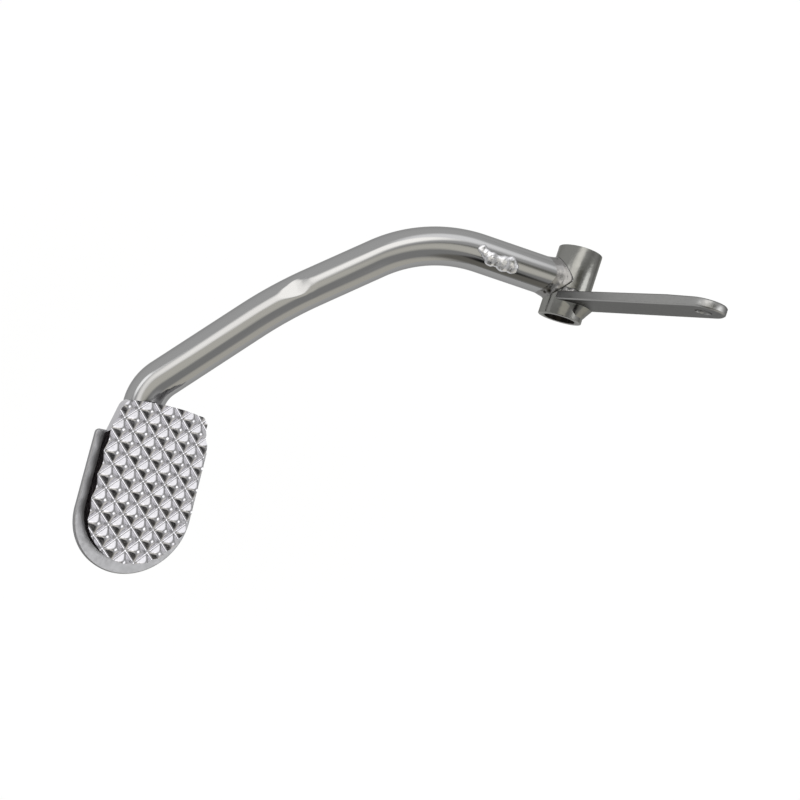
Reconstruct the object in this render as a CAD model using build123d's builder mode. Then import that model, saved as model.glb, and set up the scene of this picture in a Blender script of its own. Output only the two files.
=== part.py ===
# Rear brake pedal for a motorbike: a welded, chrome plated steel foot lever.
# A bent tube arm joins a pivot sleeve to a foot pad, and a flat lever on the
# sleeve pulls the brake rod.
# Frame: origin at the middle of the pivot bore, +Y outboard along the pivot axis,
# +Z up along the rod lever, +X forward towards the foot pad. Millimetres, degrees.
import os
from math import asin, ceil, cos, degrees, radians, sin

from build123d import *

# Pivot sleeve
sleeve_outer_d = 20.0
sleeve_bore_d = 14.0
sleeve_length = 31.8

# Rod lever: tapered flat bar standing on the sleeve, ground thinner at its eye
lever_root_width = 18.2
lever_eye_r = 7.7
lever_thickness = 4.0
lever_eye_thickness = 3.3
lever_eye_taper = 12.0
lever_inset = 6.6
lever_hole_d = 6.2
lever_hole_reach = 78.0
lever_edge_chamfer = 0.5

# Arm tube: straight runs between bend points, bends in a plane that slopes down forward
tube_outer_d = 17.2
tube_wall = 2.0
arm_offset_y = -0.5
arm_slope = 24.0
arm_run_1 = 68.5
arm_run_2 = 71.9
arm_run_3 = 69.0
arm_turn_1 = 42.6
arm_turn_2 = 8.8
bend_1_r = 64.0
bend_2_r = 200.0
bend_3_r = 19.0

# Foot pad: a serrated tread plate on a wider base plate that lies on the tube's last run
pad_pitch = 13.6
pad_roll = 7.4
pad_start = 5.8
pad_side_shift = 4.4
base_thickness = 2.0
base_corner_r = 1.8
base_edge_chamfer = 0.4
base_inset = 15.4
rim_side = 3.4
rim_end = 5.5
tube_end_inset = 16.0

# Tread outline, from the inner end to the round outer end
tread_half_width = 22.0
tread_inner_half_width = 18.8
tread_taper_length = 15.0
tread_parallel_length = 29.1
tread_end_bulge = 1.6
tread_corner_r = 4.0
tread_shoulder_r = 40.0

# Tread teeth: two crossing sets of V-grooves at 45 degrees to the pad
tread_body = 3.8
tooth_height = 2.5
tooth_pitch = 6.9
tooth_flat = 0.6
groove_angle = 45.0
groove_shift_a = -0.2
groove_shift_b = -3.1

# Weld beads
arm_weld_leg_tube = 3.6
arm_weld_leg_sleeve = 1.4
lever_weld_leg_sleeve = 5.0
lever_weld_leg_bar = 3.2
lever_weld_inboard_leg = 2.2
lever_weld_margin = 0.3
pad_weld_root = 2.5
pad_weld_toe_angle = 58.0
pad_weld_spread = 1.5
pad_weld_end_gap = 3.0
patch_reach = 34.6
patch_length = 17.6
patch_width = 8.4
patch_taper = 34.0
patch_root_depth = 1.6
patch_rise = 1.7
patch_turn = 16.0
patch_skew = 14.0

# Places worked out from the sizes above
sleeve_r = sleeve_outer_d / 2
tube_r = tube_outer_d / 2
lever_tip = lever_hole_reach + lever_eye_r
lever_outboard_y = sleeve_length / 2 - lever_inset
lever_inboard_y = lever_outboard_y - lever_thickness

arm_start = Vector(0, arm_offset_y, 0)
arm_forward = Vector(cos(radians(arm_slope)), 0, -sin(radians(arm_slope)))
arm_up = Vector(sin(radians(arm_slope)), 0, cos(radians(arm_slope)))
outboard = Vector(0, 1, 0)
heading_2 = arm_forward * cos(radians(arm_turn_1)) + outboard * sin(radians(arm_turn_1))
arm_turn_both = radians(arm_turn_1 + arm_turn_2)
heading_3 = arm_forward * cos(arm_turn_both) + outboard * sin(arm_turn_both)
bend_1 = arm_start + arm_forward * arm_run_1
bend_2 = bend_1 + heading_2 * arm_run_2
bend_3 = bend_2 + heading_3 * arm_run_3

pad_forward = Vector(cos(radians(pad_pitch)), 0, sin(radians(pad_pitch)))
pad_up_unrolled = Vector(-sin(radians(pad_pitch)), 0, cos(radians(pad_pitch)))
pad_outward = outboard * cos(radians(pad_roll)) + pad_up_unrolled * sin(radians(pad_roll))
pad_up = pad_forward.cross(pad_outward)

# The pad is laid out from the centre of the tread's round end, with its inner end at -y
tread_inner_y = -(tread_parallel_length + tread_taper_length)
tread_middle_y = tread_inner_y - tread_end_bulge
tread_height = tread_body + tooth_height
round_centre_run = pad_start - tread_middle_y
round_centre = bend_3 + pad_outward * round_centre_run - pad_forward * pad_side_shift
base_plane = Plane(round_centre + pad_up * tube_r, x_dir=pad_forward, z_dir=pad_up)
tread_plane = base_plane.offset(base_thickness)
tread_top = tread_plane.offset(tread_height).origin

base_half_width = tread_half_width + rim_side
base_round_y = rim_end - rim_side
base_inner_y = tread_middle_y + base_inset
base_outer_y = base_round_y + base_half_width
tube_end_run = round_centre_run + base_outer_y - tube_end_inset
tube_end = bend_3 + pad_outward * tube_end_run

os.makedirs("parts", exist_ok=True)

# Centre line of the arm
with BuildLine() as arm_path:
    FilletPolyline(
        arm_start, bend_1, bend_2, bend_3, tube_end,
        radius=[bend_1_r, bend_2_r, bend_3_r],
    )
arm_start_plane = Plane(arm_start, x_dir=outboard, z_dir=arm_forward)

# Pivot sleeve: a length of thick tube, cut square
with BuildPart() as pivot_sleeve:
    with BuildSketch(Plane.XZ):
        Circle(sleeve_r)
        Circle(sleeve_bore_d / 2, mode=Mode.SUBTRACT)
    extrude(amount=sleeve_length / 2, both=True)

# Arm: bent tube, its first end saddle-cut to sit on the sleeve
with BuildPart() as arm_tube:
    with BuildSketch(arm_start_plane):
        Circle(tube_r)
        Circle(tube_r - tube_wall, mode=Mode.SUBTRACT)
    sweep(path=arm_path.wire())
    with BuildSketch(Plane.XZ):
        Circle(sleeve_r)
    extrude(amount=sleeve_length, both=True, mode=Mode.SUBTRACT)

# Rod lever: its plane has x up the lever and y forward
lever_plane = Plane((0, lever_outboard_y, 0), x_dir=(0, 0, 1), z_dir=(0, 1, 0))
with BuildPart() as rod_lever:
    with BuildSketch(lever_plane):
        with BuildLine():
            Polyline(
                (0, -lever_root_width / 2), (lever_hole_reach, -lever_eye_r),
                (lever_hole_reach, lever_eye_r), (0, lever_root_width / 2),
                close=True,
            )
        make_face()
        with Locations((lever_hole_reach, 0)):
            Circle(lever_eye_r)
    extrude(amount=-lever_thickness)
    with BuildSketch(Plane.YZ):
        with BuildLine():
            Polyline(
                (lever_inboard_y, lever_hole_reach - lever_eye_taper),
                (lever_outboard_y - lever_eye_thickness, lever_tip),
                (lever_inboard_y, lever_tip),
                close=True,
            )
        make_face()
    extrude(amount=lever_root_width, both=True, mode=Mode.SUBTRACT)
    long_edges = rod_lever.edges().filter_by(Axis.X, reverse=True).filter_by(Axis.Y, reverse=True)
    chamfer(long_edges, lever_edge_chamfer)
    with BuildSketch(lever_plane):
        with Locations((lever_hole_reach, 0)):
            Circle(lever_hole_d / 2)
    extrude(amount=-lever_thickness, mode=Mode.SUBTRACT)
    with BuildSketch(Plane.XZ):
        Circle(sleeve_r)
    extrude(amount=sleeve_length, both=True, mode=Mode.SUBTRACT)

# Base plate of the pad: flat plate with a round outer end
with BuildPart() as pad_base:
    with BuildSketch(base_plane):
        with BuildLine():
            Polyline(
                (-base_half_width, base_round_y), (-base_half_width, base_inner_y),
                (base_half_width, base_inner_y), (base_half_width, base_round_y),
            )
            ThreePointArc(
                (base_half_width, base_round_y), (0, base_outer_y), (-base_half_width, base_round_y)
            )
        make_face()
        fillet(vertices().group_by(Axis.Y)[0], base_corner_r)
    extrude(amount=base_thickness)
    chamfer(pad_base.faces().sort_by(Axis((0, 0, 0), pad_up))[-1].edges(), base_edge_chamfer)

# Tread plate: tapered plate with a round outer end, cut into teeth by crossing V-grooves
groove_half = (tooth_pitch - tooth_flat) / 2
groove_reach = tread_half_width - tread_middle_y
groove_count = ceil(groove_reach / tooth_pitch)
with BuildPart() as tread_plate:
    with BuildSketch(tread_plane):
        with BuildLine():
            Line((-tread_half_width, 0), (-tread_half_width, -tread_parallel_length))
            Line((-tread_half_width, -tread_parallel_length), (-tread_inner_half_width, tread_inner_y))
            ThreePointArc(
                (-tread_inner_half_width, tread_inner_y),
                (0, tread_middle_y),
                (tread_inner_half_width, tread_inner_y),
            )
            Line((tread_inner_half_width, tread_inner_y), (tread_half_width, -tread_parallel_length))
            Line((tread_half_width, -tread_parallel_length), (tread_half_width, 0))
            ThreePointArc((tread_half_width, 0), (0, tread_half_width), (-tread_half_width, 0))
        make_face()
        by_row = vertices().group_by(Axis.Y)
        fillet(by_row[0], tread_corner_r)
        fillet(by_row[1], tread_shoulder_r)
    extrude(amount=tread_height)
    for turn, shift in [(groove_angle, groove_shift_a), (-groove_angle, groove_shift_b)]:
        across = pad_forward * cos(radians(turn)) + pad_outward * sin(radians(turn))
        with BuildSketch(Plane(tread_top, x_dir=across, z_dir=across.cross(pad_up))):
            with Locations((shift, 0)):
                with GridLocations(tooth_pitch, 0, 2 * groove_count + 1, 1):
                    Polygon(
                        (0, -tooth_height), (groove_half, 0), (groove_half, tooth_height),
                        (-groove_half, tooth_height), (-groove_half, 0),
                        align=None,
                    )
        extrude(amount=groove_reach, both=True, mode=Mode.SUBTRACT)

# Beads on both faces of the lever's root, turned about the pivot axis
lever_welds = []
for name, face_y, sleeve_leg, bar_leg in [
    ("lever_weld_outboard", lever_outboard_y, lever_weld_leg_sleeve, lever_weld_leg_bar),
    ("lever_weld_inboard", lever_inboard_y, -lever_weld_inboard_leg, lever_weld_inboard_leg),
]:
    half_span = asin((lever_root_width / 2 - lever_weld_margin) / (sleeve_r + bar_leg))
    section = Plane((0, 0, 0), x_dir=(0, 1, 0), z_dir=(cos(half_span), 0, sin(half_span)))
    with BuildPart() as lever_weld:
        with BuildSketch(section):
            with BuildLine():
                Polyline(
                    (face_y, sleeve_r), (face_y + sleeve_leg, sleeve_r), (face_y, sleeve_r + bar_leg),
                    close=True,
                )
            make_face()
        revolve(axis=Axis.Y, revolution_arc=2 * degrees(half_span))
    lever_weld.part.label = name
    lever_welds.append(lever_weld)

# Bead round the arm's saddle joint: the filled corner of the two round forms, less both
with BuildPart() as arm_weld:
    with BuildSketch(Plane.XZ):
        Circle(sleeve_r)
    extrude(amount=sleeve_length / 2, both=True)
    with BuildSketch(arm_start_plane):
        Circle(tube_r)
    extrude(amount=sleeve_length)
    sleeve_wall = arm_weld.faces().filter_by(GeomType.CYLINDER).sort_by(SortBy.RADIUS)[-1]
    corner = arm_weld.edges().filter_by(GeomType.BSPLINE)
    chamfer(corner, arm_weld_leg_sleeve, arm_weld_leg_tube, reference=sleeve_wall)
    with BuildSketch(Plane.XZ):
        Circle(sleeve_r)
    extrude(amount=sleeve_length, both=True, mode=Mode.SUBTRACT)
    with BuildSketch(arm_start_plane):
        Circle(tube_r)
    extrude(amount=2 * sleeve_length, mode=Mode.SUBTRACT)
    for neighbour in [rod_lever] + lever_welds:
        add(neighbour.part, mode=Mode.SUBTRACT)

# Bead on each side of the tube along the pad's base plate
pad_weld_start = base_inner_y + pad_weld_end_gap
pad_weld_length = tube_end_run - round_centre_run - pad_weld_end_gap - pad_weld_start
toe = radians(pad_weld_toe_angle)
root_angle = asin(pad_weld_root / tube_r)
weld_centre = bend_3 + pad_outward * (round_centre_run + pad_weld_start)
pad_welds = []
for name, side in [("pad_weld_front", 1), ("pad_weld_rear", -1)]:
    section = Plane(weld_centre, x_dir=pad_forward * side, z_dir=-pad_outward * side)
    with BuildPart() as pad_weld:
        with BuildSketch(section):
            with BuildLine():
                root_on_tube = (tube_r * sin(root_angle), tube_r * cos(root_angle))
                toe_on_tube = (tube_r * sin(toe), tube_r * cos(toe))
                middle = (root_angle + toe) / 2
                toe_on_plate = (toe_on_tube[0] + pad_weld_spread, tube_r)
                root_on_plate = (root_on_tube[0], tube_r)
                ThreePointArc(root_on_tube, (tube_r * sin(middle), tube_r * cos(middle)), toe_on_tube)
                Polyline(toe_on_tube, toe_on_plate, root_on_plate, root_on_tube)
            make_face()
        extrude(amount=-side * pad_weld_length)
    pad_weld.part.label = name
    pad_welds.append(pad_weld)

# Lump of weld on the arm: a low mound that stands a little out of the tube
patch_out = arm_up * cos(radians(patch_turn)) + outboard * sin(radians(patch_turn))
patch_row = arm_forward.rotate(Axis((0, 0, 0), patch_out), -patch_skew)
patch_plane = Plane(
    arm_start + arm_forward * patch_reach + patch_out * (tube_r - patch_root_depth),
    x_dir=patch_row, z_dir=patch_out,
)
with BuildPart() as arm_weld_patch:
    with BuildSketch(patch_plane):
        SlotOverall(patch_length, patch_width)
    extrude(amount=patch_root_depth + patch_rise, taper=patch_taper)
    with BuildSketch(arm_start_plane):
        Circle(tube_r)
    extrude(amount=2 * patch_reach, mode=Mode.SUBTRACT)

for label, piece in [
    ("pivot_sleeve", pivot_sleeve),
    ("arm_tube", arm_tube),
    ("rod_lever", rod_lever),
    ("pad_base", pad_base),
    ("tread_plate", tread_plate),
    ("arm_weld", arm_weld),
    ("arm_weld_patch", arm_weld_patch),
]:
    piece.part.label = label
    export_step(piece.part, f"parts/{label}.step")
for piece in lever_welds + pad_welds:
    export_step(piece.part, f"parts/{piece.part.label}.step")
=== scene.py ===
import math

import bmesh
import bpy
from mathutils import Matrix, Vector, noise


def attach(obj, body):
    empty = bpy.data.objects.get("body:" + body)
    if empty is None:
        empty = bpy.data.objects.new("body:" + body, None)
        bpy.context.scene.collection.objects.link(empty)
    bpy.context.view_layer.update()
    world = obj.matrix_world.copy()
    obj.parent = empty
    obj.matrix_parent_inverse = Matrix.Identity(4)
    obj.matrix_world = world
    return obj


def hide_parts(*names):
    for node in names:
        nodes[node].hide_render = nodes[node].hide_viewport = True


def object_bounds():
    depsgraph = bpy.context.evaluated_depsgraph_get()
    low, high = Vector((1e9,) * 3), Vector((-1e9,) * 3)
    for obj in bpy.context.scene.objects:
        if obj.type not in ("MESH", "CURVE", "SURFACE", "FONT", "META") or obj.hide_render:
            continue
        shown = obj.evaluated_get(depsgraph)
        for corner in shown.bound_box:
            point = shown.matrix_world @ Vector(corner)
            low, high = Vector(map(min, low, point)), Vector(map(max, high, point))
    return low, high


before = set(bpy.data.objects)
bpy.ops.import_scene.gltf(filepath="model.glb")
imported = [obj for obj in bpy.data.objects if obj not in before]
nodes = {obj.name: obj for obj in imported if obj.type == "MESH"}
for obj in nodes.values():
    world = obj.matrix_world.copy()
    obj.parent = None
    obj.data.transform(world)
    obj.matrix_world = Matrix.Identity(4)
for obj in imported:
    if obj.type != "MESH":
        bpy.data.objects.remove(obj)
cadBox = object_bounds()  # the CAD box, before anything is added
mm = 0.001
joinMm = 0.002  # corners of the solids' meshes this close are one point
print("frame loaded:", len(nodes), "CAD nodes")


def hexLinear(text):
    channels = [int(text[i:i + 2], 16) / 255 for i in (1, 3, 5)]
    return [c / 12.92 if c <= 0.04045 else ((c + 0.055) / 1.055) ** 2.4 for c in channels] + [1.0]


def addNode(tree, kind, values=None, links=None, **settings):
    node = tree.nodes.new(kind)
    for name, value in settings.items():
        setattr(node, name, value)
    for socket, value in (values or {}).items():
        node.inputs[socket].default_value = value
    for socket, source in (links or {}).items():
        tree.links.new(source, node.inputs[socket])
    return node


def direction(azimuth, elevation):
    a, e = math.radians(azimuth), math.radians(elevation)
    return Vector((math.cos(a) * math.cos(e), math.sin(a) * math.cos(e), math.sin(e)))


def addObject(name, data):
    piece = bpy.data.objects.new(name, data)
    bpy.context.scene.collection.objects.link(piece)
    return piece


def setMaterial(piece, material):
    piece.data.materials.clear()
    piece.data.materials.append(material)


# Materials

def newMaterial(name):
    material = bpy.data.materials.new(name)
    material.use_nodes = True
    material.node_tree.nodes.clear()
    return material, material.node_tree


grainSet = {"detail": 4.0, "from": (0.3, 0.7), "alongShare": 0.04}  # drawn out into streaks along the tube
rimSet = {"bore": (0.8, 1.05), "pit": (0.2, 1.2)}  # where a spot of painted shade starts and ends to fade, of its radius


def paintedShadeSpots(tree, place, look):
    # distance from the middle of each spot of painted shade, the bore and the pits, with where its rim starts
    # and ends
    spots = []
    if "boreMm" in look:
        flat = addNode(tree, "ShaderNodeVectorMath", {1: (1.0, 0.0, 1.0)}, {0: place}, operation="MULTIPLY")
        away = addNode(tree, "ShaderNodeVectorMath", links={0: flat.outputs[0]}, operation="LENGTH")
        start, end = rimSet["bore"]
        spots.append((away.outputs["Value"], start * look["boreMm"], end * look["boreMm"]))
    for pitMm, radiusMm in look.get("pits", ()):
        away = addNode(tree, "ShaderNodeVectorMath", {1: Vector(pitMm) * mm}, {0: place},
                       operation="DISTANCE")
        start, end = rimSet["pit"]
        spots.append((away.outputs["Value"], start * radiusMm, end * radiusMm))
    return spots


def platedMetal(name, look):
    material, tree = newMaterial(name)
    if look.get("alongTube"):
        across = addNode(tree, "ShaderNodeAttribute", attribute_name="profile")
        along = addNode(tree, "ShaderNodeAttribute", attribute_name="pathLength")
        squeezed = addNode(tree, "ShaderNodeMath", {1: grainSet["alongShare"]}, {0: along.outputs["Fac"]},
                           operation="MULTIPLY")
        lift = addNode(tree, "ShaderNodeCombineXYZ", links={"Z": squeezed.outputs[0]})
        place = addNode(tree, "ShaderNodeVectorMath",
                        links={0: across.outputs["Vector"], 1: lift.outputs[0]}).outputs[0]
    else:
        place = addNode(tree, "ShaderNodeTexCoord").outputs["Object"]
    grain = addNode(tree, "ShaderNodeTexNoise",
                    {"Scale": 1 / (look["grainMm"] * mm), "Detail": grainSet["detail"]}, {"Vector": place})
    (low, high), (polished, dull) = grainSet["from"], look["rough"]
    rough = addNode(tree, "ShaderNodeMapRange",
                    {"From Min": low, "From Max": high, "To Min": polished, "To Max": dull},
                    {"Value": grain.outputs["Fac"]})
    bump = addNode(tree, "ShaderNodeBump", {"Strength": look["bump"], "Distance": look["depthMm"] * mm},
                   {"Height": grain.outputs["Fac"]})
    shader = addNode(tree, "ShaderNodeBsdfPrincipled",
                     {"Base Color": hexLinear(look["colour"]), "Specular Tint": hexLinear(look["edge"]),
                      "Metallic": 1.0},
                     {"Roughness": rough.outputs["Result"], "Normal": bump.outputs["Normal"]})
    shadedBase = None
    # painted shade: the base colour fades to a near-black colour at the bore and at each pit
    for away, startMm, endMm in paintedShadeSpots(tree, place, look):
        share = addNode(tree, "ShaderNodeMapRange",
                        {"From Min": startMm * mm, "From Max": endMm * mm, "To Min": 1.0, "To Max": 0.0},
                        {"Value": away}, interpolation_type="SMOOTHSTEP")
        mixed = addNode(tree, "ShaderNodeMix", {6: hexLinear(look["colour"]), 7: hexLinear(look["paintedShadeColour"])},
                        {"Factor": share.outputs["Result"]}, data_type="RGBA")  # 6 and 7 are its two colours
        if shadedBase:
            tree.links.new(shadedBase, mixed.inputs[6])
        shadedBase = mixed.outputs[2]
    if shadedBase:
        tree.links.new(shadedBase, shader.inputs["Base Color"])
    addNode(tree, "ShaderNodeOutputMaterial", links={"Surface": shader.outputs["BSDF"]})
    return material


metalSet = {  # pits: place and radius, in mm
    # drawn and buffed tube: long soft streaks run with the tube
    "chromeOnTube": {"colour": "#949494", "edge": "#C8C8C8", "rough": (0.06, 0.14), "grainMm": 1.3,
                     "bump": 0.4, "depthMm": 0.06, "alongTube": True},
    # turned sleeve: a darker mirror with faint waves, with near-black painted shade in the bore and round its
    # mouth
    "chromeOnSleeve": {"colour": "#7A7A77", "edge": "#C0C0BE", "rough": (0.10, 0.24), "grainMm": 2.5,
                       "bump": 0.4, "depthMm": 0.2, "boreMm": 8.7, "paintedShadeColour": "#181614"},
    # polished teeth: a soft uneven mirror
    "chromeOnTeeth": {"colour": "#B2B1B4", "edge": "#F0F0F0", "rough": (0.12, 0.24), "grainMm": 1.6,
                      "bump": 0.4, "depthMm": 0.3},
    # cut wall of the tread beside the base's flange: nearly black painted shade
    "paintedShadeWall": {"colour": "#3C383A", "edge": "#3C383A", "rough": (0.35, 0.55), "grainMm": 2.0,
                  "bump": 0.3, "depthMm": 0.1},
    # flat bar left satin: rolled grain spreads the light, dull at a low angle
    "satinBar": {"colour": "#929291", "edge": "#8C8C8C", "rough": (0.28, 0.42), "grainMm": 1.2,
                 "bump": 0.2, "depthMm": 0.1},
    # sheet of the pad's base: a wide soft shine
    "satinSheet": {"colour": "#98989A", "edge": "#B0B0B0", "rough": (0.4, 0.5), "grainMm": 2.0,
                   "bump": 0.15, "depthMm": 0.1},
    # plate over weld: the tube's shine, with its pits shown only as spots of dark painted shade
    "chromeOverWeld": {"colour": "#7A7978", "edge": "#D0D0D0", "rough": (0.10, 0.28), "grainMm": 1.6,
                       "bump": 0.4, "depthMm": 0.2, "paintedShadeColour": "#2A2624",
                       "pits": (((11.3, 6.6, 1.7), 1.2), ((10.2, 6.9, 1.2), 0.8), ((12.0, 7.6, -0.4), 1.0))},
    # the drops of weld on the arm, buffed bright, with their pits shown only as spots of dark painted shade
    "buffedWeld": {"colour": "#C2C2C4", "edge": "#E0E0E0", "rough": (0.16, 0.42), "grainMm": 2.0,
                   "bump": 0.4, "depthMm": 0.15, "paintedShadeColour": "#3A3836",
                   "pits": (((32.3, 4.9, -6.9), 1.3), ((39.5, 3.2, -8.9), 1.2), ((28.9, 4.4, -4.6), 1.0))},
}
metals = {name: platedMetal(name, look) for name, look in metalSet.items()}


floorSet = {"gapMm": 120.0, "sizeM": 8.0, "colour": "#FFFFFF", "glow": 0.9}


def stagePaint():
    # matt white floor, shown white to the eye, to metal and to glass, with the shadow left on it
    material, tree = newMaterial("floorPaint")
    path = addNode(tree, "ShaderNodeLightPath")
    seen = addNode(tree, "ShaderNodeMath",
                   links={0: path.outputs["Is Camera Ray"], 1: path.outputs["Is Glossy Ray"]},
                   operation="MAXIMUM")
    seen = addNode(tree, "ShaderNodeMath", links={0: seen.outputs[0], 1: path.outputs["Is Transmission Ray"]},
                   operation="MAXIMUM")
    share = addNode(tree, "ShaderNodeMath", {1: floorSet["glow"]}, {0: seen.outputs[0]}, operation="MULTIPLY")
    paint = addNode(tree, "ShaderNodeBsdfDiffuse", {"Color": hexLinear(floorSet["colour"])})
    glow = addNode(tree, "ShaderNodeEmission", {"Color": hexLinear(floorSet["colour"]), "Strength": 1.0})
    mixed = addNode(tree, "ShaderNodeMixShader",
                    links={0: share.outputs[0], 1: paint.outputs[0], 2: glow.outputs[0]})
    addNode(tree, "ShaderNodeOutputMaterial", links={"Surface": mixed.outputs[0]})
    return material


print("materials made")


# Geometry Nodes helpers

def newTree(name, sockets):
    tree = bpy.data.node_groups.new(name, "GeometryNodeTree")
    tree.interface.new_socket("Geometry", in_out="INPUT", socket_type="NodeSocketGeometry")
    ids = {}
    for label, kind in sockets.items():
        ids[label] = tree.interface.new_socket(label, in_out="INPUT", socket_type=kind).identifier
    tree.interface.new_socket("Geometry", in_out="OUTPUT", socket_type="NodeSocketGeometry")
    return tree, ids


def endTree(tree, source, material):
    real = addNode(tree, "GeometryNodeRealizeInstances", links={"Geometry": source})
    painted = addNode(tree, "GeometryNodeSetMaterial",
                      links={"Geometry": real.outputs[0], "Material": material})
    addNode(tree, "NodeGroupOutput", links={0: painted.outputs[0]})


def runTree(piece, tree, ids, values):
    modifier = piece.modifiers.new(tree.name, "NODES")
    modifier.node_group = tree
    for label, value in values.items():
        modifier[ids[label]] = value


def plainMesh(piece, name):
    graph = bpy.context.evaluated_depsgraph_get()
    mesh = bpy.data.meshes.new_from_object(piece.evaluated_get(graph))
    made = addObject(name, mesh)
    bpy.data.objects.remove(piece)
    return made


def sharpen(piece, degreesLimit):
    shape = bmesh.new()
    shape.from_mesh(piece.data)
    for face in shape.faces:
        face.smooth = True
    for edge in shape.edges:
        edge.smooth = edge.is_manifold and edge.calc_face_angle(math.pi) < math.radians(degreesLimit)
    shape.to_mesh(piece.data)
    shape.free()


# Arm tube: swept along its bends, saddle-cut at the sleeve, with the wrinkle and the flat of its second bend

armSet = {
    "tubeMm": 17.2, "wallMm": 2.0, "offsetYMm": -0.5, "slopeDeg": 24.0,
    "runsMm": (68.5, 71.9, 69.0), "turnsDeg": (42.6, 8.8), "bendsMm": (64.0, 200.0, 19.0),
    "padRollDeg": 7.4, "padPitchDeg": 13.6, "lastRunMm": 63.0, "sleeveMm": 20.0,
    "around": 96, "arcSteps": 64, "ringMm": 0.7, "mergeMm": 0.01, "sharpDeg": 40,
}
dentSet = [  # wrinkle where the second bend starts
    {"placeMm": (104.6, 37.6, -37.2), "radiusMm": 3.4, "depthMm": 0.12},
    {"placeMm": (102.8, 40.4, -37.0), "radiusMm": 3.0, "depthMm": 0.10},
]
pressSet = {"placeMm": (111.5, 42.4, -40.7), "normal": (0.47, -0.24, 0.85), "depthMm": 0.6,
            "fullShare": 0.2, "halfMm": 11.0, "softMm": 0.4}


def armPoints():
    slope, roll, pitch = (math.radians(armSet[k]) for k in ("slopeDeg", "padRollDeg", "padPitchDeg"))
    forward = Vector((math.cos(slope), 0, -math.sin(slope)))
    outboard = Vector((0, 1, 0))
    points = [Vector((0, armSet["offsetYMm"], 0))]
    turn = 0.0
    for run, bend in zip(armSet["runsMm"], (0.0,) + armSet["turnsDeg"]):
        turn += math.radians(bend)
        points.append(points[-1] + (forward * math.cos(turn) + outboard * math.sin(turn)) * run)
    padUp = Vector((-math.sin(pitch), 0, math.cos(pitch)))
    points.append(points[-1] + (outboard * math.cos(roll) + padUp * math.sin(roll)) * armSet["lastRunMm"])
    return [p * mm for p in points]


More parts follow.
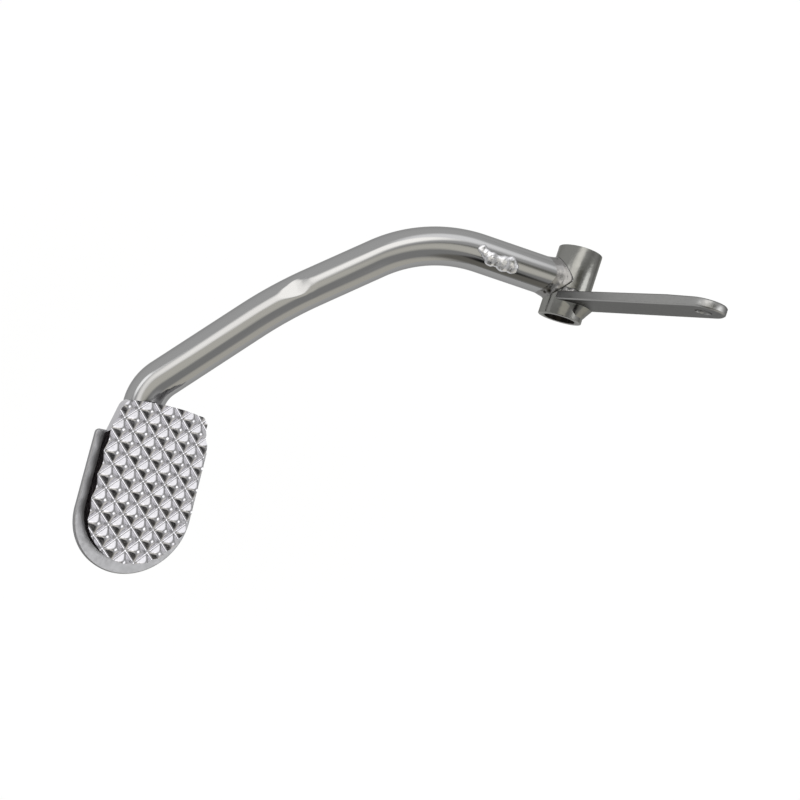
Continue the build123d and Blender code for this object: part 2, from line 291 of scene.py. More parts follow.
def armTree():
    tree, ids = newTree("armTube", {
        "Tube Radius": "NodeSocketFloat", "Sleeve Radius": "NodeSocketFloat", "Around": "NodeSocketInt",
        "Arc Steps": "NodeSocketInt", "Ring": "NodeSocketFloat", "Forward": "NodeSocketVector",
        "Up": "NodeSocketVector", "Material": "NodeSocketMaterial"})
    given = addNode(tree, "NodeGroupInput").outputs
    bend = addNode(tree, "GeometryNodeInputRadius")
    rounded = addNode(tree, "GeometryNodeFilletCurve", links={
        "Curve": given["Geometry"], "Radius": bend.outputs[0], "Count": given["Arc Steps"]}, mode="POLY")
    even = addNode(tree, "GeometryNodeResampleCurve",
                   links={"Curve": rounded.outputs[0], "Length": given["Ring"]}, mode="LENGTH")
    plain = addNode(tree, "GeometryNodeSetCurveRadius", {"Radius": 1.0}, {"Curve": even.outputs[0]})
    length = addNode(tree, "GeometryNodeSplineParameter")
    path = addNode(tree, "GeometryNodeStoreNamedAttribute", {"Name": "pathLength"},
                   {"Geometry": plain.outputs[0], "Value": length.outputs["Length"]},
                   data_type="FLOAT", domain="POINT")
    ring = addNode(tree, "GeometryNodeCurvePrimitiveCircle",
                   links={"Resolution": given["Around"], "Radius": given["Tube Radius"]}, mode="RADIUS")
    place = addNode(tree, "GeometryNodeInputPosition")
    profile = addNode(tree, "GeometryNodeStoreNamedAttribute", {"Name": "profile"},
                      {"Geometry": ring.outputs[0], "Value": place.outputs[0]},
                      data_type="FLOAT_VECTOR", domain="POINT")
    skin = addNode(tree, "GeometryNodeCurveToMesh",
                   links={"Curve": path.outputs[0], "Profile Curve": profile.outputs[0]})
    # the rings inside the sleeve move out to its surface, where they join into one
    rise = addNode(tree, "ShaderNodeVectorMath", links={0: place.outputs[0], 1: given["Up"]},
                   operation="DOT_PRODUCT")
    riseSquare = addNode(tree, "ShaderNodeMath", links={0: rise.outputs["Value"], 1: rise.outputs["Value"]},
                         operation="MULTIPLY")
    sleeveSquare = addNode(tree, "ShaderNodeMath",
                           links={0: given["Sleeve Radius"], 1: given["Sleeve Radius"]}, operation="MULTIPLY")
    left = addNode(tree, "ShaderNodeMath", links={0: sleeveSquare.outputs[0], 1: riseSquare.outputs[0]},
                   operation="SUBTRACT")
    reach = addNode(tree, "ShaderNodeMath", {1: 0.5}, {0: left.outputs[0]}, operation="POWER")
    along = addNode(tree, "ShaderNodeVectorMath", links={0: place.outputs[0], 1: given["Forward"]},
                    operation="DOT_PRODUCT")
    short = addNode(tree, "ShaderNodeMath", links={0: reach.outputs[0], 1: along.outputs["Value"]},
                    operation="SUBTRACT")
    moved = addNode(tree, "ShaderNodeMath", {1: 0.0}, {0: short.outputs[0]}, operation="MAXIMUM")
    shift = addNode(tree, "ShaderNodeVectorMath", links={0: given["Forward"], "Scale": moved.outputs[0]},
                    operation="SCALE")
    saddle = addNode(tree, "GeometryNodeSetPosition",
                     links={"Geometry": skin.outputs[0], "Offset": shift.outputs[0]})
    merged = addNode(tree, "GeometryNodeMergeByDistance", {"Distance": armSet["mergeMm"] * mm},
                     {"Geometry": saddle.outputs[0]})
    shape = merged.outputs[0]
    for dent in dentSet:
        away = addNode(tree, "ShaderNodeVectorMath", {1: Vector(dent["placeMm"]) * mm}, {0: place.outputs[0]},
                       operation="DISTANCE")
        deep = addNode(tree, "ShaderNodeMapRange",
                       {"From Max": dent["radiusMm"] * mm, "To Min": -dent["depthMm"] * mm, "To Max": 0.0},
                       {"Value": away.outputs["Value"]}, interpolation_type="SMOOTHSTEP")
        normal = addNode(tree, "GeometryNodeInputNormal")
        push = addNode(tree, "ShaderNodeVectorMath",
                       links={0: normal.outputs[0], "Scale": deep.outputs["Result"]}, operation="SCALE")
        dented = addNode(tree, "GeometryNodeSetPosition",
                         links={"Geometry": shape, "Offset": push.outputs[0]})
        shape = dented.outputs[0]
    # flat that the bending die pressed into the bend
    facing = Vector(pressSet["normal"]).normalized()
    full, half = pressSet["fullShare"] * pressSet["halfMm"] * mm, pressSet["halfMm"] * mm
    fromMark = addNode(tree, "ShaderNodeVectorMath", {1: Vector(pressSet["placeMm"]) * mm},
                       {0: place.outputs[0]}, operation="SUBTRACT")
    stand = addNode(tree, "ShaderNodeVectorMath", {1: facing}, {0: fromMark.outputs[0]},
                    operation="DOT_PRODUCT")
    pressed = addNode(tree, "ShaderNodeMath", {1: -pressSet["depthMm"] * mm, 2: pressSet["softMm"] * mm},
                      {0: stand.outputs["Value"]}, operation="SMOOTH_MIN")
    sunk = addNode(tree, "ShaderNodeMath", links={0: pressed.outputs[0], 1: stand.outputs["Value"]},
                   operation="SUBTRACT")
    reachMark = addNode(tree, "ShaderNodeVectorMath", links={0: fromMark.outputs[0]}, operation="LENGTH")
    fade = addNode(tree, "ShaderNodeMapRange",
                   {"From Min": full, "From Max": half, "To Min": 1.0, "To Max": 0.0},
                   {"Value": reachMark.outputs["Value"]}, interpolation_type="SMOOTHSTEP")
    depth = addNode(tree, "ShaderNodeMath", links={0: sunk.outputs[0], 1: fade.outputs["Result"]},
                    operation="MULTIPLY")
    into = addNode(tree, "ShaderNodeVectorMath", {0: facing}, {"Scale": depth.outputs[0]}, operation="SCALE")
    flat = addNode(tree, "GeometryNodeSetPosition", links={"Geometry": shape, "Offset": into.outputs[0]})
    smooth = addNode(tree, "GeometryNodeSetShadeSmooth", links={"Geometry": flat.outputs[0]})
    endTree(tree, smooth.outputs[0], given["Material"])
    return tree, ids


def makeArm():
    curve = bpy.data.curves.new("armPath", "CURVE")
    curve.dimensions = "3D"
    spline = curve.splines.new("POLY")
    points = armPoints()
    spline.points.add(len(points) - 1)
    radii = (0.0,) + armSet["bendsMm"] + (0.0,)
    for point, place, radius in zip(spline.points, points, radii):
        point.co = (*place, 1.0)
        point.radius = radius * mm
    piece = addObject("armPath", curve)
    tree, ids = armTree()
    slope = math.radians(armSet["slopeDeg"])
    runTree(piece, tree, ids, {
        "Tube Radius": armSet["tubeMm"] / 2 * mm, "Sleeve Radius": armSet["sleeveMm"] / 2 * mm,
        "Around": armSet["around"], "Arc Steps": armSet["arcSteps"], "Ring": armSet["ringMm"] * mm,
        "Forward": (math.cos(slope), 0.0, -math.sin(slope)), "Up": (math.sin(slope), 0.0, math.cos(slope)),
        "Material": metals["chromeOnTube"]})
    skin = plainMesh(piece, "armSkin")
    wall = skin.modifiers.new("wall", "SOLIDIFY")
    wall.thickness, wall.offset = armSet["wallMm"] * mm, -1.0
    arm = plainMesh(skin, "bentArmTube")
    sharpen(arm, armSet["sharpDeg"])
    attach(arm, "root")
    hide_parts("arm_tube")


makeArm()
print("arm made")


# Weld beads: lumps melted over the solids' form, with shapes of their own for the four that show

weldSet = {
    "arm_weld": {"name": "armWeldBead", "lumpMm": 2.2, "heightMm": 0.06, "growMm": 0.0, "seed": 3.0,
                 "smoothing": 0},
    "arm_weld_patch": {"name": "armWeldPatch", "lumpMm": 2.2, "heightMm": 0.3, "growMm": 0.1, "seed": 8.0,
                       "smoothing": 24, "metal": "buffedWeld"},
    "lever_weld_outboard": {"name": "leverWeldOuter", "lumpMm": 3.0, "heightMm": 0.05, "growMm": 0.0,
                            "seed": 5.0, "smoothing": 0, "metal": "chromeOnSleeve"},
    "lever_weld_inboard": {"name": "leverWeldInner", "lumpMm": 2.4, "heightMm": 0.3, "growMm": 0.35,
                           "seed": 6.0, "smoothing": 10},
    "pad_weld_front": {"name": "padWeldFront", "lumpMm": 2.6, "heightMm": 0.5, "growMm": 0.1, "seed": 1.0},
    "pad_weld_rear": {"name": "padWeldRear", "lumpMm": 2.6, "heightMm": 0.5, "growMm": 0.1, "seed": 2.0},
}
meltSet = {"voxelMm": 0.28, "factor": 0.5, "smoothing": 5}
patchDrops = [  # reach along the arm, turn from its top, half width and rise of each drop
    {"reachMm": 44.0, "turnDeg": -2.0, "halfMm": 2.3, "riseMm": 0.9},
    {"reachMm": 41.8, "turnDeg": 8.0, "halfMm": 2.3, "riseMm": 1.2},
    {"reachMm": 39.2, "turnDeg": 17.0, "halfMm": 3.3, "riseMm": 1.8},
    {"reachMm": 36.4, "turnDeg": 17.0, "halfMm": 2.8, "riseMm": 1.5},
    {"reachMm": 33.4, "turnDeg": 18.0, "halfMm": 3.7, "riseMm": 2.0},
    {"reachMm": 30.4, "turnDeg": 8.0, "halfMm": 2.8, "riseMm": 1.6},
    {"reachMm": 29.2, "turnDeg": 20.0, "halfMm": 3.0, "riseMm": 1.6},
]
cornerLumps = [  # soft lumps where the bead meets the lever's root
    {"placeMm": (9.4, 5.6, 4.2), "spreadMm": 1.7, "riseMm": 0.9},
    {"placeMm": (10.0, 8.0, 2.6), "spreadMm": 1.5, "riseMm": 0.5},
    {"placeMm": (8.8, 2.8, 5.4), "spreadMm": 1.8, "riseMm": 0.4},
]
rootDrops = [  # drops on the bead of the lever's inboard face
    {"placeMm": (7.2, 4.8, 7.2), "radiusMm": 1.5},
    {"placeMm": (4.8, 4.4, 9.3), "radiusMm": 1.3},
]
filletSet = {
    "tubeLegMm": 5.4, "sleeveLegMm": 1.38, "fullMm": 0.4, "rootMm": 1.2,
    "beadMm": 0.4, "beadFrom": (0.35, 0.65), "beadTo": (0.8, 1.0), "underMm": 1.0, "blendMm": 0.5,
    "sinkMm": 0.5, "tubeSink": 0.3, "tubeFade": 6, "sleeveFade": 10,
    "lumpMm": 2.4, "calmMm": 0.06, "roughMm": 0.25, "roughDeg": (25, 60, 120, 170),
    "around": 240, "across": 28,
}
gussetSet = {"hollowMm": 0.25, "fadeDeg": 48.0, "thinShare": 0.04, "sinkMm": 0.35, "sinkFade": 6,
             "around": 72, "across": 12}


def armAxes():
    slope = math.radians(armSet["slopeDeg"])
    return (Vector((math.cos(slope), 0, -math.sin(slope))), Vector((math.sin(slope), 0, math.cos(slope))),
            Vector((0, 1, 0)), Vector((0, armSet["offsetYMm"], 0)))


def addDrop(shape, place, axes, radii):
    turned = Matrix([a * r for a, r in zip(axes, radii)]).transposed().to_4x4()
    placed = Matrix.Translation(place * mm) @ turned
    bmesh.ops.create_icosphere(shape, subdivisions=3, radius=mm, matrix=placed)


def patchShape(shape):
    forward, up, out, start = armAxes()
    for drop in patchDrops:
        turn = math.radians(drop["turnDeg"])
        away = up * math.cos(turn) + out * math.sin(turn)
        place = start + forward * drop["reachMm"] + away * (armSet["tubeMm"] / 2)
        radii = (drop["halfMm"], drop["halfMm"], drop["riseMm"])
        addDrop(shape, place, (forward, away.cross(forward), away), radii)


def smoothStep(start, end, value):
    share = max(0.0, min((value - start) / (end - start), 1.0))
    return share * share * (3 - 2 * share)


def closeRings(shape, rings, joined):
    made = [[shape.verts.new(p * mm) for p in ring] for ring in rings]
    count = len(made[0])
    for a, b in zip(made, made[1:] + made[:1] if joined else made[1:]):
        for j in range(count):
            shape.faces.new((a[j], b[j], b[(j + 1) % count], a[(j + 1) % count]))
    if not joined:
        shape.faces.new(made[0])
        shape.faces.new(made[-1])
    bmesh.ops.recalc_face_normals(shape, faces=shape.faces)


def filletShape(shape):
    # a hollow fillet off the tube, then a round bead that stands a little off the sleeve and ends in it
    forward, up, out, start = armAxes()
    tubeR, sleeveR = armSet["tubeMm"] / 2, armSet["sleeveMm"] / 2
    bead, under, blend = (filletSet[k] for k in ("beadMm", "underMm", "blendMm"))
    sink, root = filletSet["sinkMm"], filletSet["rootMm"]
    rise, steady, fall, end = filletSet["roughDeg"]
    rings = []
    for i in range(filletSet["around"]):
        turn = 2 * math.pi * i / filletSet["around"] - math.pi
        away = up * math.cos(turn) + out * math.sin(turn)

        def onJoint(radius, past):
            reach = math.sqrt(sleeveR ** 2 - (radius * math.cos(turn)) ** 2) + past
            return start + forward * reach + away * radius

        degrees = math.degrees(turn)
        share = max(0.0, min((degrees - rise) / (steady - rise), 1.0, (end - degrees) / (end - fall)))
        lump = filletSet["calmMm"] + (filletSet["roughMm"] - filletSet["calmMm"]) * share
        tubeToe, corner = onJoint(tubeR, filletSet["tubeLegMm"]), onJoint(tubeR, 0.0)
        sleeveToe = onJoint(tubeR + filletSet["sleeveLegMm"], 0.0)
        wall = Vector((sleeveToe.x, 0, sleeveToe.z)).normalized()
        pull = corner + (away + forward).normalized() * filletSet["fullMm"]
        ring = []
        for j in range(filletSet["across"] + 1):
            t = j / filletSet["across"]
            point = tubeToe * (1 - t) ** 2 + pull * 2 * t * (1 - t) + sleeveToe * t ** 2
            swell = lump * noise.noise(point / filletSet["lumpMm"]) * math.sin(math.pi * t)
            for extra in cornerLumps:
                gap = (point - Vector(extra["placeMm"])).length / extra["spreadMm"]
                swell += extra["riseMm"] * math.exp(-gap * gap) * math.sin(math.pi * t) ** 0.5
            # both toes dive under the metal they end on
            swell -= filletSet["tubeSink"] * sink * (1 - t) ** filletSet["tubeFade"]
            swell -= sink * t ** filletSet["sleeveFade"]
            point += (away * (1 - t) + wall * t).normalized() * swell
            # the bead: the part near the sleeve is lifted off it, with a soft change between the two
            radial = Vector((point.x, 0, point.z))
            lift = (under + bead) * smoothStep(*filletSet["beadFrom"], t) - under
            lift -= (bead + sink) * smoothStep(*filletSet["beadTo"], t)
            near = max(0.0, blend - abs(radial.length - sleeveR - lift))
            reach = max(radial.length, sleeveR + lift) + near * near / (4 * blend)
            point += radial.normalized() * (reach - radial.length)
            ring.append(point)
        ring += [sleeveToe - wall * root, corner - (away + wall).normalized() * root, tubeToe - away * root]
        rings.append(ring)
    closeRings(shape, rings, True)


def gussetShape(shape):
    # the web between the lever's face and the sleeve's end: full at the far end, fading out beside the arm
    corners = [v.co / mm for v in nodes["lever_weld_outboard"].data.vertices]
    faceY, toeY = min(c.y for c in corners), max(c.y for c in corners)
    inner, outer = armSet["sleeveMm"] / 2, max(math.hypot(c.x, c.z) for c in corners)
    span, sink = max(math.atan2(c.x, c.z) for c in corners), gussetSet["sinkMm"]
    rings = []
    for i in range(gussetSet["around"] + 1):
        turn = span * (2 * i / gussetSet["around"] - 1)
        away, along = Vector((math.sin(turn), 0, math.cos(turn))), Vector((0, 1, 0))
        share = smoothStep(0.0, math.radians(gussetSet["fadeDeg"]), span - turn)
        share = gussetSet["thinShare"] + (1 - gussetSet["thinShare"]) * share
        corner = away * inner + along * faceY
        low, high = along * (toeY - faceY) * share, away * (outer - inner) * share
        ring = []
        for j in range(gussetSet["across"] + 1):
            t = j / gussetSet["across"]
            hollow = (low + high).normalized() * (gussetSet["hollowMm"] * share * math.sin(math.pi * t))
            dive = away * sink * (1 - t) ** gussetSet["sinkFade"] + along * sink * t ** gussetSet["sinkFade"]
            ring.append(corner + low * (1 - t) + high * t - hollow - dive)
        deep = 2 * sink
        ring += [corner + high - along * deep, corner - (away + along) * deep, corner + low - away * deep]
        rings.append(ring)
    closeRings(shape, rings, False)


def rootShape(shape):
    shape.from_mesh(nodes["lever_weld_inboard"].data)
    bmesh.ops.remove_doubles(shape, verts=shape.verts, dist=joinMm * mm)
    forward, up, out = armAxes()[:3]
    for drop in rootDrops:
        addDrop(shape, Vector(drop["placeMm"]), (forward, out, up), [drop["radiusMm"]] * 3)


ownShapes = {"arm_weld": filletShape, "arm_weld_patch": patchShape, "lever_weld_outboard": gussetShape,
             "lever_weld_inboard": rootShape}


def beadTree():
    tree, ids = newTree("meltedBead", {
        "Lump Size": "NodeSocketFloat", "Lump Height": "NodeSocketFloat", "Grow": "NodeSocketFloat",
        "Seed": "NodeSocketFloat", "Material": "NodeSocketMaterial"})
    given = addNode(tree, "NodeGroupInput").outputs
    place = addNode(tree, "GeometryNodeInputPosition")
    scale = addNode(tree, "ShaderNodeMath", {0: 1.0}, {1: given["Lump Size"]}, operation="DIVIDE")
    lumps = addNode(tree, "ShaderNodeTexNoise", {"Detail": 1.0},
                    {"Vector": place.outputs[0], "W": given["Seed"], "Scale": scale.outputs[0]},
                    noise_dimensions="4D")
    centred = addNode(tree, "ShaderNodeMath", {1: 0.5}, {0: lumps.outputs["Fac"]}, operation="SUBTRACT")
    height = addNode(tree, "ShaderNodeMath", links={
        0: centred.outputs[0], 1: given["Lump Height"], 2: given["Grow"]}, operation="MULTIPLY_ADD")
    normal = addNode(tree, "GeometryNodeInputNormal")
    shift = addNode(tree, "ShaderNodeVectorMath", links={0: normal.outputs[0], "Scale": height.outputs[0]},
                    operation="SCALE")
    moved = addNode(tree, "GeometryNodeSetPosition",
                    links={"Geometry": given["Geometry"], "Offset": shift.outputs[0]})
    smooth = addNode(tree, "GeometryNodeSetShadeSmooth", links={"Geometry": moved.outputs[0]})
    endTree(tree, smooth.outputs[0], given["Material"])
    return tree, ids


def meltWelds():
    tree, ids = beadTree()
    for node, weld in weldSet.items():
        mesh = bpy.data.meshes.new(node + "Melt")
        shape = bmesh.new()
        if node in ownShapes:
            ownShapes[node](shape)
        else:
            shape.from_mesh(nodes[node].data)
            bmesh.ops.remove_doubles(shape, verts=shape.verts, dist=joinMm * mm)
        shape.to_mesh(mesh)
        shape.free()
        piece = addObject(node + "Melt", mesh)
        smoothing = weld.get("smoothing", meltSet["smoothing"])
        if smoothing:
            remesh = piece.modifiers.new("remesh", "REMESH")
            remesh.mode, remesh.voxel_size = "VOXEL", meltSet["voxelMm"] * mm
            smooth = piece.modifiers.new("smooth", "SMOOTH")
            smooth.factor, smooth.iterations = meltSet["factor"], smoothing
        runTree(piece, tree, ids, {
            "Lump Size": weld["lumpMm"] * mm, "Lump Height": 2 * weld["heightMm"] * mm,
            "Grow": weld["growMm"] * mm, "Seed": weld["seed"],
            "Material": metals[weld.get("metal", "chromeOverWeld")]})
        bead = plainMesh(piece, weld["name"])
        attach(bead, "root")
        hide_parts(node)


meltWelds()
print("welds made")

# Tread plate: two crossing sets of grooves with soft valleys and hips, cut to the solid's own outline

treadSet = {
    "bodyMm": 3.8, "toothMm": 2.5, "pitchMm": 6.9, "flatMm": 0.6, "shiftsMm": (-0.2, -3.1),
    "pitches": 11, "stepsPerPitch": 30, "valleyMm": 1.0, "floorMm": 0.3, "floorBlendMm": 0.7,
    "hipMm": 1.1, "capMm": 2.25, "tipMm": 0.7, "pillow": 0.3, "sharpDeg": 35, "wallShare": 0.3,
    "startMm": 51.5, "sideShiftMm": 4.4, "seatMm": 10.6,
    "spareMm": 1.0, "blockBodies": 3.0, "rimMm": 0.01, "mergeMm": 0.001, "sliverMm": 0.0005,
}


def padFrame():
    roll, pitch = math.radians(armSet["padRollDeg"]), math.radians(armSet["padPitchDeg"])
    ahead = Vector((math.cos(pitch), 0, math.sin(pitch)))
    level = Vector((-math.sin(pitch), 0, math.cos(pitch)))
    out = Vector((0, 1, 0)) * math.cos(roll) + level * math.sin(roll)
    up = ahead.cross(out)
    shift = out * treadSet["startMm"] - ahead * treadSet["sideShiftMm"] + up * treadSet["seatMm"]
    centre = armPoints()[3] + shift * mm
    return Matrix.Translation(centre) @ Matrix((ahead, out, up)).transposed().to_4x4()


def treadPrism(place):
    local = [place.inverted() @ v.co for v in nodes["tread_plate"].data.vertices]
    base = min(p.z for p in local)
    rim = {(round(p.x, 6), round(p.y, 6)) for p in local if p.z < base + treadSet["rimMm"] * mm}
    middle = sum(y for x, y in rim) / len(rim)
    rim = sorted(rim, key=lambda p: math.atan2(p[1] - middle, p[0]))
    shape = bmesh.new()
    face = shape.faces.new([shape.verts.new((x, y, 0.0)) for x, y in rim])
    grown = bmesh.ops.extrude_face_region(shape, geom=[face])
    top = [v for v in grown["geom"] if isinstance(v, bmesh.types.BMVert)]
    tall = (treadSet["bodyMm"] + treadSet["toothMm"] + treadSet["spareMm"]) * mm
    bmesh.ops.translate(shape, verts=top, vec=(0, 0, tall))
    bmesh.ops.recalc_face_normals(shape, faces=shape.faces)
    mesh = bpy.data.meshes.new("treadPrism")
    shape.to_mesh(mesh)
    shape.free()
    return addObject("treadPrism", mesh)


def treadTree():
    tree, ids = newTree("treadTeeth", {
        "Spread": "NodeSocketFloat", "Lines": "NodeSocketInt", "Middle": "NodeSocketVector",
        "Pitch": "NodeSocketFloat", "Slope": "NodeSocketFloat", "Shift A": "NodeSocketFloat",
        "Shift B": "NodeSocketFloat", "Body": "NodeSocketFloat", "Cap": "NodeSocketFloat",
        "Valley": "NodeSocketFloat", "Floor": "NodeSocketFloat", "Hip": "NodeSocketFloat",
        "Tip": "NodeSocketFloat", "Pillow": "NodeSocketFloat", "Material": "NodeSocketMaterial"})
    given = addNode(tree, "NodeGroupInput").outputs
    grid = addNode(tree, "GeometryNodeMeshGrid", links={
        "Size X": given["Spread"], "Size Y": given["Spread"],
        "Vertices X": given["Lines"], "Vertices Y": given["Lines"]})
    turned = addNode(tree, "GeometryNodeTransform", {"Rotation": (0.0, 0.0, math.pi / 4)},
                     {"Geometry": grid.outputs[0], "Translation": given["Middle"]})
    place = addNode(tree, "GeometryNodeInputPosition")
    half = addNode(tree, "ShaderNodeMath", {1: 0.5}, {0: given["Pitch"]}, operation="MULTIPLY")
    minusHalf = addNode(tree, "ShaderNodeMath", {1: -0.5}, {0: given["Pitch"]}, operation="MULTIPLY")
    peak = addNode(tree, "ShaderNodeMath", links={0: half.outputs[0], 1: given["Slope"]},
                   operation="MULTIPLY")
    walls = []
    for name, side in (("Shift A", 1), ("Shift B", -1)):
        across = addNode(tree, "ShaderNodeVectorMath", {1: (math.sqrt(0.5), side * math.sqrt(0.5), 0.0)},
                         {0: place.outputs[0]}, operation="DOT_PRODUCT")
        shifted = addNode(tree, "ShaderNodeMath", links={0: across.outputs["Value"], 1: given[name]},
                          operation="SUBTRACT")
        near = addNode(tree, "ShaderNodeMath", links={
            0: shifted.outputs[0], 1: half.outputs[0], 2: minusHalf.outputs[0]}, operation="WRAP")
        mirrored = addNode(tree, "ShaderNodeMath", {1: -1.0}, {0: near.outputs[0]}, operation="MULTIPLY")
        rounded = addNode(tree, "ShaderNodeMath", links={
            0: near.outputs[0], 1: mirrored.outputs[0], 2: given["Valley"]}, operation="SMOOTH_MAX")
        rounded = addNode(tree, "ShaderNodeMath", {2: treadSet["floorBlendMm"] * mm},
                          {0: rounded.outputs[0], 1: given["Floor"]}, operation="SMOOTH_MAX")
        # straight sides swollen towards a quarter wave
        share = addNode(tree, "ShaderNodeMath", links={0: rounded.outputs[0], 1: half.outputs[0]},
                        operation="DIVIDE")
        angle = addNode(tree, "ShaderNodeMath", {1: math.pi / 2}, {0: share.outputs[0]}, operation="MULTIPLY")
        wave = addNode(tree, "ShaderNodeMath", links={0: angle.outputs[0]}, operation="SINE")
        swell = addNode(tree, "ShaderNodeMath", links={0: wave.outputs[0], 1: share.outputs[0]},
                        operation="SUBTRACT")
        shape = addNode(tree, "ShaderNodeMath", links={
            0: swell.outputs[0], 1: given["Pillow"], 2: share.outputs[0]}, operation="MULTIPLY_ADD")
        walls.append(addNode(tree, "ShaderNodeMath", links={0: shape.outputs[0], 1: peak.outputs[0]},
                             operation="MULTIPLY").outputs[0])
    pyramid = addNode(tree, "ShaderNodeMath", links={0: walls[0], 1: walls[1], 2: given["Hip"]},
                      operation="SMOOTH_MIN")
    blunt = addNode(tree, "ShaderNodeMath", links={0: pyramid.outputs[0], 1: given["Cap"], 2: given["Tip"]},
                    operation="SMOOTH_MIN")
    high = addNode(tree, "ShaderNodeMath", links={0: blunt.outputs[0], 1: given["Body"]}, operation="ADD")
    lift = addNode(tree, "ShaderNodeCombineXYZ", links={"Z": high.outputs[0]})
    teeth = addNode(tree, "GeometryNodeSetPosition",
                    links={"Geometry": turned.outputs[0], "Offset": lift.outputs[0]})
    # the toothed sheet closed into a block, then cut to the prism
    depth = addNode(tree, "ShaderNodeMath", {1: treadSet["blockBodies"]}, {0: given["Body"]},
                    operation="MULTIPLY")
    down = addNode(tree, "FunctionNodeInputVector", vector=(0.0, 0.0, -1.0))
    lowered = addNode(tree, "GeometryNodeExtrudeMesh", {"Individual": False}, {
        "Mesh": teeth.outputs[0], "Offset": down.outputs[0], "Offset Scale": depth.outputs[0]}, mode="FACES")
    flipped = addNode(tree, "GeometryNodeFlipFaces", links={"Mesh": lowered.outputs["Mesh"]})
    both = addNode(tree, "GeometryNodeJoinGeometry")
    tree.links.new(flipped.outputs[0], both.inputs[0])
    tree.links.new(teeth.outputs[0], both.inputs[0])
    block = addNode(tree, "GeometryNodeMergeByDistance", {"Distance": treadSet["mergeMm"] * mm},
                    {"Geometry": both.outputs[0]})
    cutOut = addNode(tree, "GeometryNodeMeshBoolean", operation="INTERSECT", solver="EXACT")
    tree.links.new(block.outputs[0], cutOut.inputs[1])
    tree.links.new(given["Geometry"], cutOut.inputs[1])
    endTree(tree, cutOut.outputs["Mesh"], given["Material"])
    return tree, ids


def closeCut(piece):
    # the cut leaves slivers, which close once their corners are joined
    shape = bmesh.new()
    shape.from_mesh(piece.data)
    bmesh.ops.triangulate(shape, faces=shape.faces)
    bmesh.ops.remove_doubles(shape, verts=shape.verts, dist=treadSet["sliverMm"] * mm)
    shape.to_mesh(piece.data)
    shape.free()


def makeTread():
    place = padFrame()
    piece = treadPrism(place)
    tree, ids = treadTree()
    pitch, (shiftA, shiftB) = treadSet["pitchMm"], treadSet["shiftsMm"]
    u, v = shiftA - pitch, -shiftB - 2 * pitch  # a groove crossing near the tread's middle
    middle = Vector((u - v, u + v, 0)) * math.sqrt(0.5) * mm
    runTree(piece, tree, ids, {
        "Spread": treadSet["pitches"] * pitch * mm,
        "Lines": treadSet["pitches"] * treadSet["stepsPerPitch"] + 1,
        "Middle": middle, "Pitch": pitch * mm,
        "Slope": 2 * treadSet["toothMm"] / (pitch - treadSet["flatMm"]),
        "Shift A": shiftA * mm, "Shift B": shiftB * mm, "Body": treadSet["bodyMm"] * mm,
        "Cap": treadSet["capMm"] * mm, "Valley": treadSet["valleyMm"] * mm,
        "Floor": treadSet["floorMm"] * mm, "Hip": treadSet["hipMm"] * mm, "Tip": treadSet["tipMm"] * mm,
        "Pillow": treadSet["pillow"], "Material": metals["chromeOnTeeth"]})
    tread = plainMesh(piece, "toothedTread")
    closeCut(tread)
    tread.data.transform(place)
    sharpen(tread, treadSet["sharpDeg"])
    tread.data.materials.append(metals["paintedShadeWall"])  # painted shade, for the wall beside the base's flange
    toPad, upright = place.inverted(), place.to_3x3().col[2]
    baseEnd = min((toPad @ v.co).y for v in nodes["pad_base"].data.vertices)
    # faces of the cut wall beside the flange take the nearly black painted shade
    for face in tread.data.polygons:
        cutWall = abs(face.normal.dot(upright)) < treadSet["wallShare"]
        besideFlange = (toPad @ face.center).y > baseEnd
        face.material_index = int(cutWall and besideFlange)
    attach(tread, "root")
    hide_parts("tread_plate")


makeTread()
print("tread made")

# The solids that keep their mesh, with their edges broken
dressSet = {
    "pivot_sleeve": {"metal": "chromeOnSleeve", "edgeMm": 0.25},
    "rod_lever": {"metal": "satinBar", "edgeMm": 0.2},
    "pad_base": {"metal": "satinSheet", "edgeMm": 0.15},
}
edgeSet = {"flatDeg": 0.4, "sharpDeg": 30, "segments": 2}
for name, dress in dressSet.items():
    setMaterial(nodes[name], metals[dress["metal"]])
    joined = nodes[name].modifiers.new("join", "WELD")
    joined.merge_threshold = joinMm * mm
    flats = nodes[name].modifiers.new("flats", "DECIMATE")
    flats.decimate_type, flats.angle_limit = "DISSOLVE", math.radians(edgeSet["flatDeg"])
    soft = nodes[name].modifiers.new("softEdges", "BEVEL")
    soft.width, soft.segments = dress["edgeMm"] * mm, edgeSet["segments"]
    soft.limit_method, soft.angle_limit = "ANGLE", math.radians(edgeSet["sharpDeg"])
    soft.harden_normals = True
print("solids dressed")

# Stage: floor, room light and camera
half = floorSet["sizeM"] / 2
floorZ = cadBox[0].z - floorSet["gapMm"] * mm
floorMesh = bpy.data.meshes.new("floor")
floorMesh.from_pydata([(x * half, y * half, floorZ) for x, y in ((-1, -1), (1, -1), (1, 1), (-1, 1))],
                      [], [(0, 1, 2, 3)])
floor = addObject("floor", floorMesh)
setMaterial(floor, stagePaint())

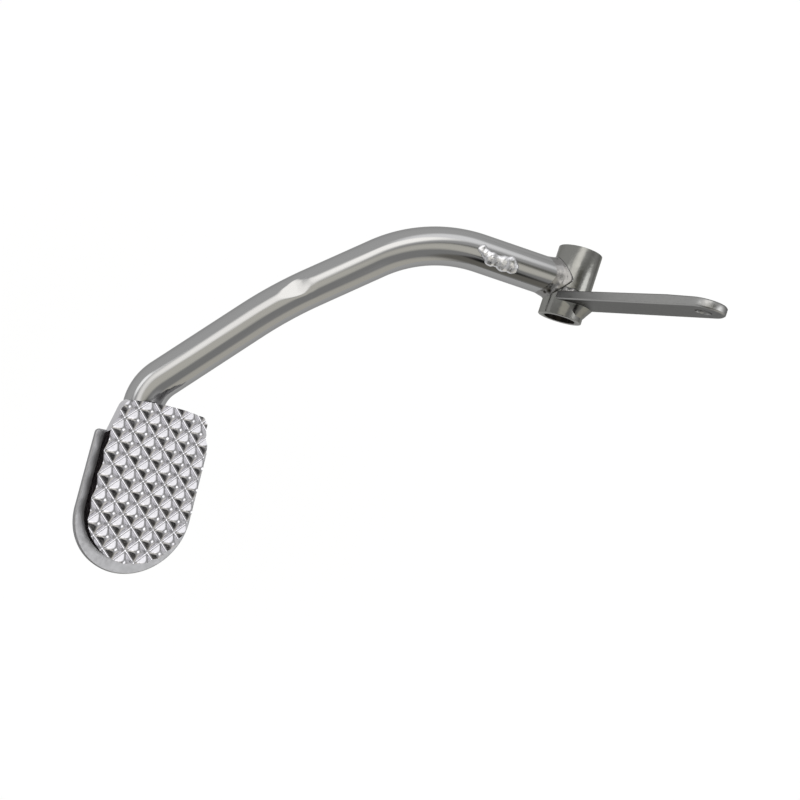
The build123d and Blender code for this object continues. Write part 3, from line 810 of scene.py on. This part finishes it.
# soft patches of light in a grey room: azimuth and elevation, then the half widths that are full and faded
roomSet = {
    "walls": {"colour": "#C2C2C1", "radiance": 1.0},
    "frontWall": {"atDeg": (-50, 8), "halfDeg": (30, 75), "colour": "#FFFFFF", "radiance": 1.0},
    "doorway": {"atDeg": (86, 20), "halfDeg": (14, 27), "colour": "#9A978F", "radiance": 1.0},
    "sideWall": {"atDeg": (136, 10), "halfDeg": (17, 34), "colour": "#FFFBF0", "radiance": 1.1},
    "backWall": {"atDeg": (178, 46), "halfDeg": (12, 42), "colour": "#F4F4F4", "radiance": 1.0},
    "backLamp": {"atDeg": (-172, 54), "halfDeg": (10, 21), "colour": "#FFFFFF", "radiance": 3.1},
    "ceiling": {"atDeg": (-55, 78), "halfDeg": (6, 16), "colour": "#9A9A92", "radiance": 1.0},
    "topFill": {"atDeg": (26, 63), "halfDeg": (12, 25), "colour": "#FFFCF2", "radiance": 1.25},
    "window": {"atDeg": (-25, 40), "halfDeg": (8, 24), "colour": "#FFFDFA", "radiance": 2.6},
    "softbox": {"atDeg": (-69, 33), "halfDeg": (8, 23), "colour": "#FEFEFF", "radiance": 2.0},
    "highWindow": {"atDeg": (-45, 42), "halfDeg": (6, 16), "colour": "#FFFDFA", "radiance": 2.9},
    "slotLamp": {"atDeg": (-12, 12), "halfDeg": (4, 11), "colour": "#FFFFFF", "radiance": 2.8},
    "highFlag": {"atDeg": (57, 52), "halfDeg": (4, 9), "colour": "#303030", "radiance": 1.0},
    "lowFlag": {"atDeg": (74, 35), "halfDeg": (6, 14), "colour": "#303030", "radiance": 1.0},
}


def makeRoom():
    world = bpy.data.worlds.new("room")
    bpy.context.scene.world = world
    world.use_nodes = True
    tree = world.node_tree
    tree.nodes.clear()
    looking = addNode(tree, "ShaderNodeTexCoord")
    colour = None
    for patch in roomSet.values():
        light = [c * patch["radiance"] for c in hexLinear(patch["colour"])[:3]] + [1.0]
        if "atDeg" not in patch:
            colour = addNode(tree, "ShaderNodeRGB").outputs[0]
            colour.default_value = light
            continue
        full, faded = (math.cos(math.radians(half)) for half in patch["halfDeg"])
        centre = addNode(tree, "ShaderNodeVectorMath", {1: direction(*patch["atDeg"])},
                         {0: looking.outputs["Generated"]}, operation="DOT_PRODUCT")
        share = addNode(tree, "ShaderNodeMapRange", {"From Min": faded, "From Max": full},
                        {"Value": centre.outputs["Value"]}, interpolation_type="SMOOTHSTEP")
        mixed = addNode(tree, "ShaderNodeMix", {7: light}, {"Factor": share.outputs["Result"], 6: colour},
                        data_type="RGBA")  # sockets 6 and 7 are the two colours, 2 the mixed one
        colour = mixed.outputs[2]
    sky = addNode(tree, "ShaderNodeBackground", {"Strength": 1.0}, {"Color": colour})
    addNode(tree, "ShaderNodeOutputWorld", links={"Surface": sky.outputs[0]})


makeRoom()

cameraSet = {"placeMm": (210.8, 73.0, 268.4), "turnDeg": (-9.49, -26.94, -159.84), "lensMm": 33.3,
             "sensorMm": 36.0, "clipM": (0.01, 20.0)}
cameraData = bpy.data.cameras.new("camera")
cameraData.lens, cameraData.sensor_width = cameraSet["lensMm"], cameraSet["sensorMm"]
cameraData.clip_start, cameraData.clip_end = cameraSet["clipM"]
camera = addObject("camera", cameraData)
camera.location = Vector(cameraSet["placeMm"]) * mm
camera.rotation_euler = [math.radians(a) for a in cameraSet["turnDeg"]]
bpy.context.scene.camera = camera
bpy.context.scene.view_settings.view_transform = "Standard"
print("stage set")
